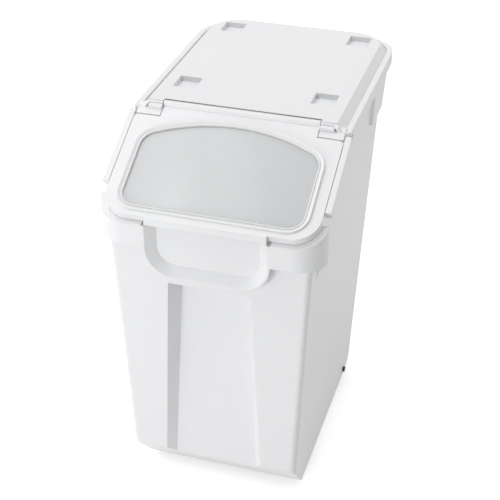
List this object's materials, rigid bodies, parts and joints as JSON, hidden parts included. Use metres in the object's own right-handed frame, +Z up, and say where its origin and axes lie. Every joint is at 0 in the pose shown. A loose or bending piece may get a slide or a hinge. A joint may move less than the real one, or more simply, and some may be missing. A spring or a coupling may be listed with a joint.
{
  "type": "rice container",
  "caption": "Tall white food bin on rollers with a lift-off rear lid, a hinged sloping front flap with a clear window, and a finger pocket.",
  "frame": {"origin": "centre of the bounding box on the floor, under the rollers", "axes": "+Z up, -Y towards the front flap, +X to the right as seen from the front"},
  "size_m": [0.276, 0.43, 0.504],
  "materials": {
    "white_plastic": "satin white moulding",
    "clear_plastic": "clear moulded sheet",
    "black_plastic": "hard black moulding",
    "steel": "bright drawn wire"
  },
  "bodies": {
    "tub_body": {"tub": "white_plastic", "front_left_axle": "black_plastic", "front_right_axle": "black_plastic", "rear_left_axle": "black_plastic", "rear_right_axle": "black_plastic"},
    "lid_body": {"rear_lid": "white_plastic", "left_hinge_pin": "steel", "right_hinge_pin": "steel"},
    "flap_body": {"flap_frame": "white_plastic", "flap_window": "clear_plastic"},
    "front_left_roller_body": {"front_left_roller": "black_plastic"},
    "front_right_roller_body": {"front_right_roller": "black_plastic"},
    "rear_left_roller_body": {"rear_left_roller": "black_plastic"},
    "rear_right_roller_body": {"rear_right_roller": "black_plastic"}
  },
  "joints": [
    {"name": "lid_lift", "type": "slide", "parent": "tub_body", "child": "lid_body", "axis": [0, 0, 1], "range_m": [0, 0.1]},
    {"name": "flap_hinge", "type": "hinge", "parent": "lid_body", "child": "flap_body", "pos_m": [0, -0.0695, 0.499], "axis": [-1, 0, 0], "range_deg": [0, 128]},
    {"name": "front_left_roller_spin", "type": "hinge", "parent": "tub_body", "child": "front_left_roller_body", "pos_m": [-0.0915, -0.1023, 0.022], "axis": [1, 0, 0], "continuous": true},
    {"name": "front_right_roller_spin", "type": "hinge", "parent": "tub_body", "child": "front_right_roller_body", "pos_m": [0.0915, -0.1023, 0.022], "axis": [1, 0, 0], "continuous": true},
    {"name": "rear_left_roller_spin", "type": "hinge", "parent": "tub_body", "child": "rear_left_roller_body", "pos_m": [-0.0915, 0.087, 0.022], "axis": [1, 0, 0], "continuous": true},
    {"name": "rear_right_roller_spin", "type": "hinge", "parent": "tub_body", "child": "rear_right_roller_body", "pos_m": [0.0915, 0.087, 0.022], "axis": [1, 0, 0], "continuous": true}
  ]
}
